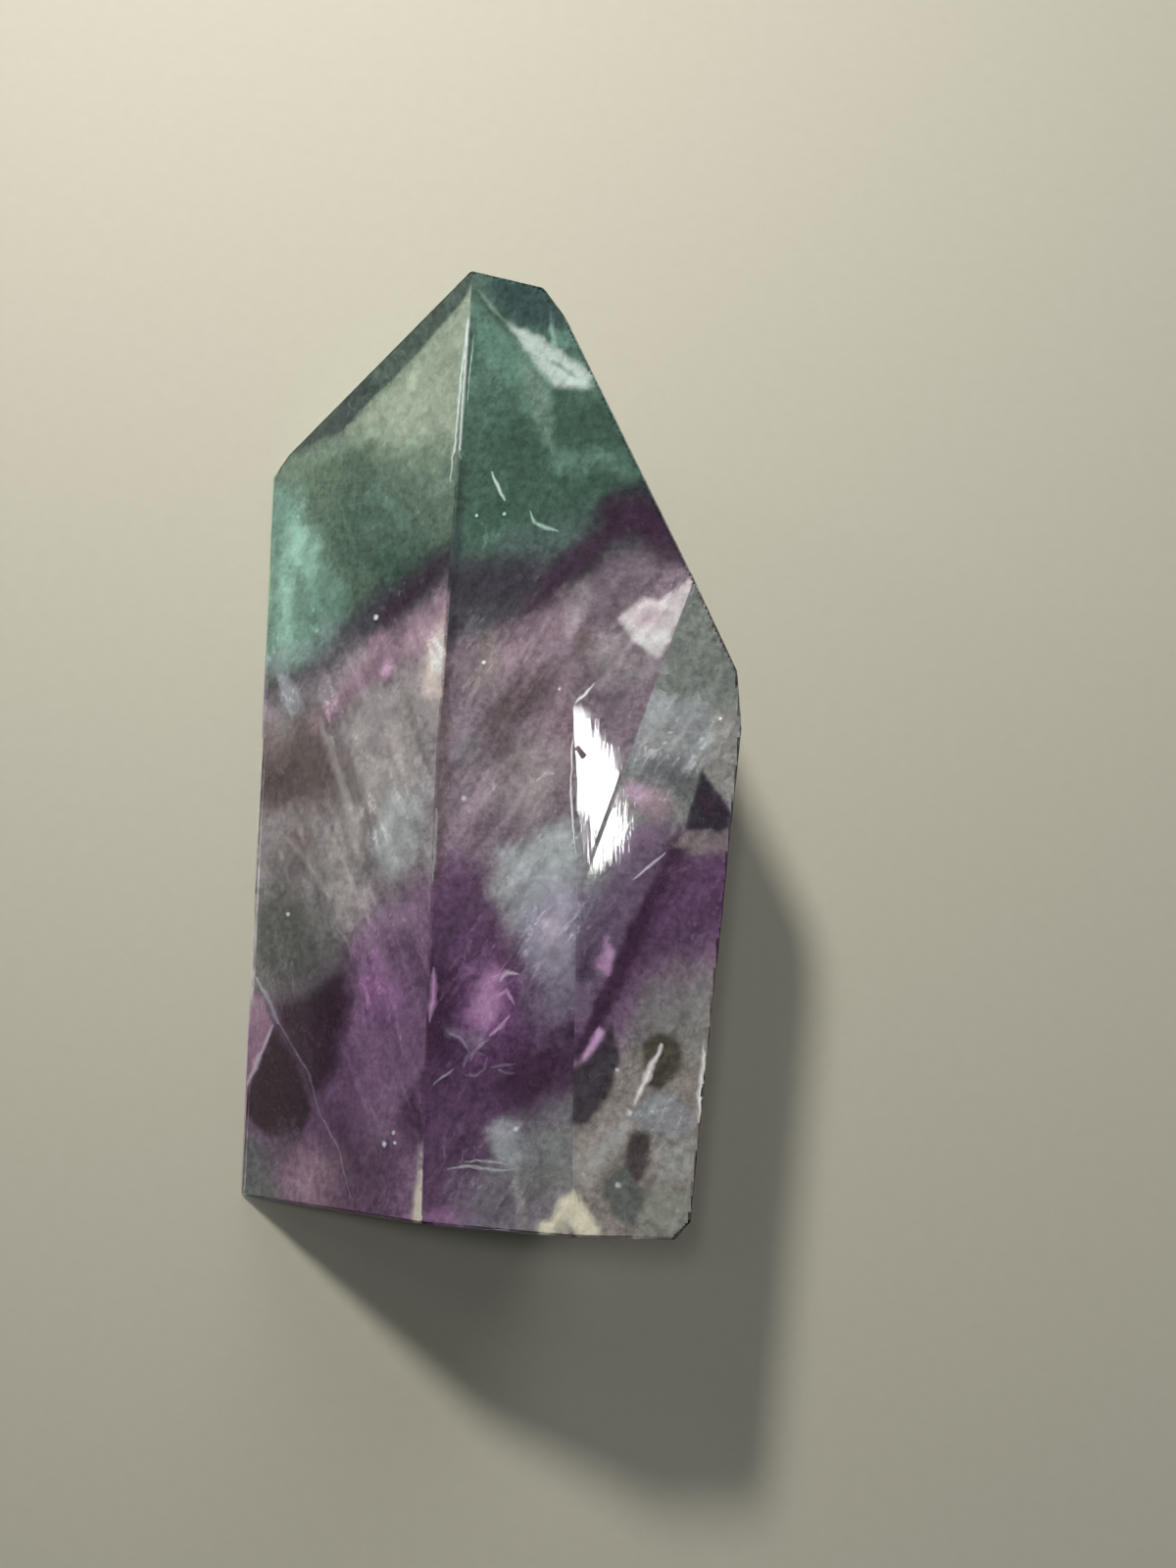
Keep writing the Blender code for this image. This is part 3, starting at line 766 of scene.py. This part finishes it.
class Side:
    """One flat side of the stone: its outward normal, how far out it lies and its area, in millimetres."""

    def __init__(self, normal, reach):
        self.normal = np.array(normal)
        self.reach = reach
        self.area = 0.0

    def part(self):
        """Which painted part of the top this side belongs to, if any."""
        across, _, up = self.normal
        if up < 0.5:
            return None
        if across < -0.5:
            return "left"
        return "middle" if across < 0.0 else "flank"

    def room(self, points):
        """How far inside this side each point lies."""
        return self.reach - points @ self.normal


def skin_sides(stone):
    """Every flat side of the stone's skin, small bevels too."""
    points = [v.co for v in stone.data.vertices]
    middle = sum(points, Vector()) / len(points)
    sides = []
    for face in stone.data.polygons:
        if face.area < LEAST_FACE * MM * MM:
            continue
        normal = face.normal * (1.0 if face.normal.dot(face.center - middle) > 0.0 else -1.0)
        side = next((s for s in sides if s.normal @ normal > 0.9999), None)
        if side is None:
            side = Side(normal, max(normal.dot(p) for p in points) / MM)
            sides.append(side)
        side.area += face.area / (MM * MM)
    return sides


def sheet_points(side, sides, step):
    """Fine grid over one flat side, as points in millimetres and faces."""
    normal = Vector(side.normal)
    limits = [(Vector(s.normal), s.reach - (0.0 if side.part() and s.part() else SIDE_MARGIN))
              for s in sides if s is not side]
    turn = Matrix.Rotation(math.atan2(normal.x, normal.z), 4, "Y")
    turn = turn @ Matrix.Rotation(-math.asin(normal.y), 4, "X")
    place = Matrix.Translation(normal * side.reach) @ turn
    outline = bmesh.new()
    bmesh.ops.create_grid(outline, x_segments=1, y_segments=1, size=PAST_STONE, matrix=place)
    trimmed(outline, limits)
    flat = [place.inverted() @ v.co for v in outline.verts]
    cutting = [(n, r) for n, r in limits if any(abs(n.dot(v.co) - r) < 1.0e-3 for v in outline.verts)]
    outline.free()
    if not flat:
        return np.zeros((0, 3)), []
    low = Vector([min(p[i] for p in flat) for i in range(3)])
    high = Vector([max(p[i] for p in flat) for i in range(3)])
    half = (high - low) / 2.0
    place = place @ Matrix.Translation((low + high) / 2.0) @ Matrix.Diagonal((half.x, half.y, 1.0, 1.0))
    mesh = bmesh.new()
    bmesh.ops.create_grid(mesh, x_segments=max(1, round(2.0 * half.x / step)),
                          y_segments=max(1, round(2.0 * half.y / step)), size=1.0, matrix=place)
    trimmed(mesh, cutting)
    mesh.verts.index_update()
    points = np.array([v.co for v in mesh.verts])
    faces = [[v.index for v in f.verts] for f in mesh.faces]
    mesh.free()
    return points, faces


def trimmed(mesh, limits):
    """Cut away what lies beyond each plane."""
    for normal, reach in limits:
        geometry = mesh.verts[:] + mesh.edges[:] + mesh.faces[:]
        bmesh.ops.bisect_plane(mesh, geom=geometry, dist=1.0e-5, plane_co=normal * reach,
                               plane_no=normal, clear_outer=True)


def inward(points, side):
    """The camera's line of sight inside the stone under the top, or straight in elsewhere."""
    if not side.part():
        return np.tile(-side.normal, (len(points), 1))
    sight = points - np.array(CAMERA_PLACE)
    sight /= np.linalg.norm(sight, axis=1)[:, None]
    cosine = -(sight @ side.normal)
    bent = np.sqrt(1.0 - (1.0 - cosine ** 2) / REFRACTION ** 2)
    return sight / REFRACTION + (cosine / REFRACTION - bent)[:, None] * side.normal


def sunk(points, side, skin, layer):
    """Surface places moved into the stone, less near its outline, and which of them lie well inside."""
    ways = inward(points, side)
    borders = [s for s in skin if s.area > LEAST_SIDE and s is not side and not (side.part() and s.part())]
    room = sum(np.maximum(s.room(points), 0.01) ** -4.0 for s in borders) ** -0.25
    depth = layer.least + (layer.depth - layer.least) * (1.0 - np.exp(-room * layer.rise / layer.depth))
    far = depth / -(ways @ side.normal)
    low, high = np.zeros(len(points)), np.full(len(points), 99.0)
    for other in skin:
        gap, leaving = other.room(points) - 0.8 * layer.least, ways @ other.normal
        high = np.where(leaving > 0.01, np.minimum(high, gap / np.maximum(leaving, 0.01)), high)
        low = np.where(leaving < -0.01, np.maximum(low, gap / np.minimum(leaving, -0.01)), low)
    good = (low < high) & (low < FARTHEST_PUSH)
    return points + ways * np.where(good, np.clip(far, low, high), 0.0)[:, None], good


def zone_paint(places, part):
    """Colour of the growth zones at places on the top."""
    zone = ZONES[part]
    warp = fractal(places, 0.22, seed=11) * 0.6 + fractal(places, 0.9, seed=16, octaves=3) * 0.2
    high = places[:, 1] + warp
    shade = np.tile(haze_tint(zone["tints"][0]), (len(places), 1))
    for name, (line, blur) in zip(zone["tints"][1:], ZONE_EDGES):
        edge = np.interp(places[:, 0], *zip(*zone[line]))
        share = 1.0 - smooth(high - edge, -blur, blur)
        shade += share[:, None] * (haze_tint(name) - shade)
    return shade


def streaked(places, part, across, seed):
    """Noise drawn out along the crystal's growth lines."""
    slant = 0.45 if part == "left" else -0.55
    drawn = np.stack([places[:, 0] + slant * places[:, 1], places[:, 1] * 0.2, places[:, 2] * 0.2], axis=1)
    return fractal(drawn, across, seed)


def crests(places, part, across, seed):
    """Winding lines drawn out along the growth lines, 1 on a line and less beside it."""
    return 1.0 - 2.4 * np.abs(streaked(places, part, across, seed))


def patched(places, part):
    """Zone colour with all clouds and panes over it, painted reflections and shade among them, and how much
    they cover.
    """
    sway = np.stack([fractal(places, 0.5, seed) for seed in (51, 61)], axis=1) * SWAY
    ragged = [fractal(places, scale, 31.0 + scale) for scale in (0.7, 1.0, 1.5, 2.2)]
    shade = zone_paint(places, part)
    cover = np.zeros(len(places))
    for number, patch in enumerate(PATCHES[part]):
        share = np.clip(patch.share(places[:, :2] + sway * patch.loose, ragged[number % 4]), 0.0, 1.0)
        shade += share[:, None] * (haze_tint(patch.tint) - shade)
        cover += share * (1.0 - cover)
    return shade, cover


def top_paint(places, side):
    """Deep haze under the top: nearly opaque, softly mottled."""
    part = side.part()
    shade, _ = patched(places, part)
    mottle = streaked(places, part, 0.9, seed=72) * 0.6 + fractal(places, 1.3, seed=75, octaves=5) * 0.5
    clear = smooth(places[:, 1], *CLEAR_RISE) * (1.0 - smooth(places[:, 1], *CLEAR_FALL))
    marble = smooth(crests(places, part, 0.42, seed=87), 0.3, 1.0)
    marble -= smooth(crests(places, part, 0.5, seed=121), 0.3, 1.0)
    swing = TONE_SWING * mottle + (MARBLE_SWING + CLEAR_MARBLE_SWING * clear) * marble
    return shade * np.exp(swing)[:, None], np.full(len(places), DEEP_OPACITY)


def wisp_paint(places, side):
    """Near veils: thin over clear parts, denser in clouds, with fine bright threads."""
    part = side.part()
    shade, cover = patched(places, part)
    veil = streaked(places, part, 0.7, seed=81) * 0.6 + fractal(places, 1.4, seed=84) * 0.5
    thread = smooth(crests(places, part, 1.1, seed=89), 0.7, 1.0)
    thread *= smooth(fractal(places, 0.4, seed=95, octaves=2), -0.2, 0.4)
    thread *= 1.0 - smooth(places[:, 1], *THREAD_FALL)
    opacity = THIN_OPACITY + 0.16 * np.clip(veil, 0.0, 1.0) + cover * (0.28 + 0.30 * np.clip(veil, -0.9, 1.0))
    shade = shade * np.exp(TONE_SWING * veil + THREAD_SWING * thread)[:, None] + 0.02 * thread[:, None]
    return shade, opacity + THREAD_OPACITY * thread


def flank_paint(places, side):
    """Haze under the sides and the resting face, in the same growth zones, lifted by a painted glow of light
    passing through the stone.
    """
    shade = zone_paint(places, "left")
    middle = smooth(places[:, 0], -4.0, 1.0)
    right = smooth(places[:, 0], 5.0, 9.0) * (1.0 - smooth(places[:, 1], 0.0, 6.0))
    shade += middle[:, None] * (zone_paint(places, "middle") - shade)
    shade += right[:, None] * (zone_paint(places, "flank") - shade)
    veil = fractal(places, 0.5, seed=93) * 0.7 + fractal(places, 1.6, seed=96) * 0.5
    # The gain paints the glow of light passing through the stone onto the side haze
    return shade * (FLANK_PAINTED_GLOW_GAIN + VEIL_SWING * veil)[:, None], np.clip(FLANK_OPACITY + 0.3 * veil, 0.0, 0.97)


def tinted_piece(name, points, faces, shade, opacity, normals):
    """A piece whose colour, opacity and normals lie on its points."""
    data = bpy.data.meshes.new(name)
    data.from_pydata((points * MM).tolist(), [], faces)
    layer = data.color_attributes.new("tint", "FLOAT_COLOR", "POINT")
    paint = np.column_stack([np.clip(shade, 0.0, LIGHTEST), np.clip(opacity, 0.0, 1.0)])
    layer.data.foreach_set("color", paint.ravel())
    data.shade_smooth()
    data.normals_split_custom_set_from_vertices(normals.tolist())
    piece = new_object(name, data)
    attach(piece, "root")
    return piece


def joined(name, parts):
    """One piece from parts, each with its points, faces, shades, opacities and normal."""
    faces, normals = [], []
    for points, part_faces, _, _, normal in parts:
        faces += [[v + len(normals) for v in f] for f in part_faces]
        normals += [normal] * len(points)
    points, _, shade, opacity, _ = zip(*parts)
    shade, opacity = np.vstack(shade), np.concatenate(opacity)
    return tinted_piece(name, np.vstack(points), faces, shade, opacity, np.array(normals))


def kept_faces(faces, good):
    """Faces with only good points, numbered as if the other points were gone."""
    number = np.cumsum(good) - 1
    return [[number[v] for v in f] for f in faces if all(good[v] for v in f)]


def build_haze(name, picked, skin, layer, step, paint):
    """Cloudy sheets under the picked sides, folded at the stone's edges."""
    sides = [s for s in skin if s.area > LEAST_SIDE]
    parts = []
    for side in picked:
        points, faces = sheet_points(side, sides, step)
        if not len(points):
            continue
        places, good = sunk(points, side, skin, layer)
        shade, opacity = paint(points[good] - ZONE_ORIGIN, side)
        parts.append((places[good], kept_faces(faces, good), shade, opacity, side.normal))
    return joined(name, parts)


def under_top(path, skin):
    """Places at the depth of cracks and painted highlights below X and Y on the top, and which of them lie
    inside.
    """
    tops = [s for s in skin if s.part() and s.area > LEAST_SIDE]
    path = path + ZONE_ORIGIN[:2]
    heights = [(s.reach - path @ s.normal[:2]) / s.normal[2] for s in tops]
    lowest = np.argmin(heights, axis=0)
    points = np.column_stack([path, np.min(heights, axis=0)])
    good = np.zeros(len(points), dtype=bool)
    for number, side in enumerate(tops):
        here = lowest == number
        points[here], good[here] = sunk(points[here], side, skin, CRACKS_AND_HIGHLIGHTS)
    return points, good


def kept_part(points, good, faces, tint, opacity):
    """A part of one tint, without the points that lie outside."""
    shade = np.tile(haze_tint(tint), (good.sum(), 1))
    return points[good], kept_faces(faces, good), shade, opacity[good], UPWARD


def stroke_strip(stroke, skin, seed):
    """A thin wavering ribbon that fades to its edges and ends."""
    tint, half, strength, route = stroke
    steps = np.concatenate([[0.0], np.cumsum([math.dist(a, b) for a, b in zip(route, route[1:])])])
    count = max(8, int(steps[-1] / RIBBON_STEP))
    along = np.linspace(0.0, steps[-1], count)
    path = np.stack([np.interp(along, steps, [p[i] for p in route]) for i in (0, 1)], axis=1)
    way = np.gradient(path, axis=0)
    way /= np.linalg.norm(way, axis=1)[:, None]
    out = np.stack([-way[:, 1], way[:, 0]], axis=1)
    spread = np.column_stack([path, np.zeros(count)])
    path = path + out * (fractal(spread, 1.8, seed) * RIBBON_WAVER)[:, None]
    ends = np.sqrt(np.sin(np.linspace(0.12, 3.02, count)))
    width = half * (1.0 + WIDTH_SWING * fractal(spread, 2.6, seed + 3.0)) * ends
    rows = [path + out * (width * offset)[:, None] for offset, _ in RIBBON]
    points, good = under_top(np.vstack(rows), skin)
    fade = strength * (0.55 + 0.45 * ends)
    opacity = np.concatenate([fade * share for _, share in RIBBON])
    faces = []
    for row in range(len(RIBBON) - 1):
        for a in range(row * count, row * count + count - 1):
            faces.append((a, a + 1, a + 1 + count, a + count))
    return kept_part(points, good, faces, tint, opacity)


def fleck_patch(fleck, skin, seed):
    """A small ragged bright spot."""
    tint, x, y, radius = fleck
    draw = random.Random(seed)
    path, opacity = [(x, y)], [1.0]
    for ring, share in ((0.6, 0.9), (1.3, 0.0)):
        for i in range(FLECK_RIM):
            angle = math.tau * i / FLECK_RIM
            reach = radius * ring * draw.uniform(0.7, 1.25)
            path.append((x + reach * math.cos(angle), y + reach * math.sin(angle)))
            opacity.append(share)
    faces = []
    for i in range(FLECK_RIM):
        a, b = 1 + i, 1 + (i + 1) % FLECK_RIM
        faces += [(0, a, b), (a, a + FLECK_RIM, b + FLECK_RIM, b)]
    points, good = under_top(np.array(path), skin)
    return kept_part(points, good, faces, tint, np.array(opacity))


def build_cracks_and_highlights(skin):
    """All thin cracks, cleavage strokes, painted highlight lines and bright spots as one piece."""
    parts = [stroke_strip(s, skin, 5.0 + i) for i, s in enumerate(STROKES)]
    parts += [fleck_patch(f, skin, 90 + i) for i, f in enumerate(FLECKS)]
    return joined("inner_cracks_and_highlights", parts)


def haze_material():
    """Milky haze whose tint and opacity lie on the sheet, with fine grain; the tints also carry painted
    reflections, shade, highlights and glow.
    """
    n = Nodes("inclusion")
    place = n.place()
    tint = n.add("VertexColor", layer_name="tint")
    shader = n.add("BsdfPrincipled")
    fine = n.step(n.noise(place, 2.6, 6.0, 0.75), 0.32, 0.68)
    shadow, light = colour(0.22, 0.22, 0.22), colour(0.80, 0.80, 0.80)
    lit = n.blend(0.9, tint.outputs["Color"], n.blend(fine, shadow, light), "SOFT_LIGHT")
    n.link(lit, shader.inputs["Base Color"])
    grain = n.step(n.noise(place, 4.5, 4.0, 0.7), 0.32, 0.6, 0.84, 1.1)
    n.link(n.sum("MULTIPLY", tint.outputs["Alpha"], grain, clamp=True), shader.inputs["Alpha"])
    n.fill(shader, Roughness=0.6, Specular_IOR_Level=0.15)
    n.link(shader.outputs[0], n.out.inputs["Surface"])
    return n.material


def build_inclusions(stone):
    """Growth clouds, veils and cracks inside the stone, with painted reflections, shade, highlights and glow
    among them.
    """
    skin = skin_sides(stone)
    tops = [s for s in skin if s.part() and s.area > LEAST_SIDE]
    flanks = [s for s in skin if not s.part() and s.area > LEAST_SIDE]
    material = haze_material()
    pieces = (
        build_haze("inner_haze_with_painted_light", tops, skin, DEEP, TOP_STEP, top_paint),
        build_haze("inner_wisps_with_painted_light", tops, skin, NEAR, TOP_STEP, wisp_paint),
        build_haze("inner_flanks_with_painted_glow", flanks, skin, FLANK, FLANK_STEP, flank_paint),
        build_cracks_and_highlights(skin),
    )
    for piece in pieces:
        piece.data.materials.append(material)


def set_light_paths():
    """Enough bounces for light to cross the clear stone and its veils."""
    scene = bpy.context.scene
    scene.view_settings.view_transform = "Standard"
    scene.cycles.max_bounces = 10
    scene.cycles.transmission_bounces = 8
    scene.cycles.transparent_max_bounces = 24
    scene.cycles.volume_bounces = 2
    scene.cycles.blur_glossy = 0.3
    scene.cycles.sample_clamp_indirect = 6.0


build_camera()
build_lights()
build_room()
build_floor()
dress_stone()
build_inclusions(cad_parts["fluorite_point"])
set_light_paths()
